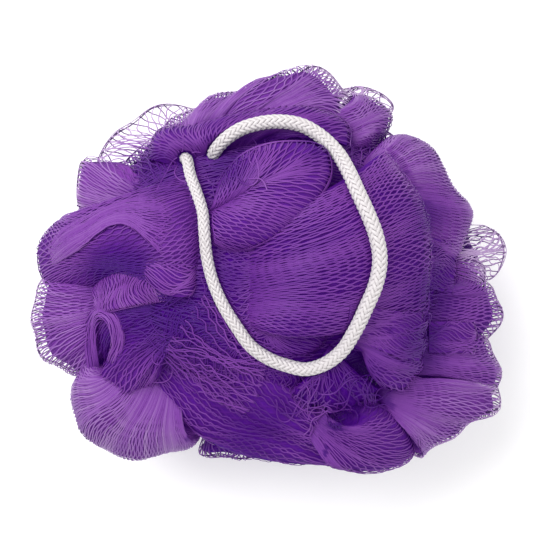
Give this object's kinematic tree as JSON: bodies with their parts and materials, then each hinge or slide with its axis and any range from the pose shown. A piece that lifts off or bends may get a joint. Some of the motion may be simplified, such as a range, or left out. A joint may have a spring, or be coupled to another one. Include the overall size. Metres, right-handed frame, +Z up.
{
  "type": "mesh bath pouf",
  "caption": "Soft ball of gathered net folds with a braided hanging cord looped over its top, both cord ends tied into the gather.",
  "frame": {"origin": "middle of the netting's extent in X and Y, at the level of the flat spot that the pouf lies on", "axes": "+Z up through the gather and the cord loop, +X along the widest way across, towards the side that the net's cut end points to, +Y towards the side of the gather"},
  "size_m": [0.1306, 0.1102, 0.0758],
  "materials": {
    "violet_net": "extruded plastic net, violet, satin, see-through where one fold lies alone",
    "white_braid": "round braided cord, white, slightly glossy yarn",
    "white_twine": "white twine"
  },
  "bodies": {
    "root": {"netting": "violet_net", "hanging_cord": "white_braid", "centre_tie": "white_twine"}
  },
  "joints": []
}
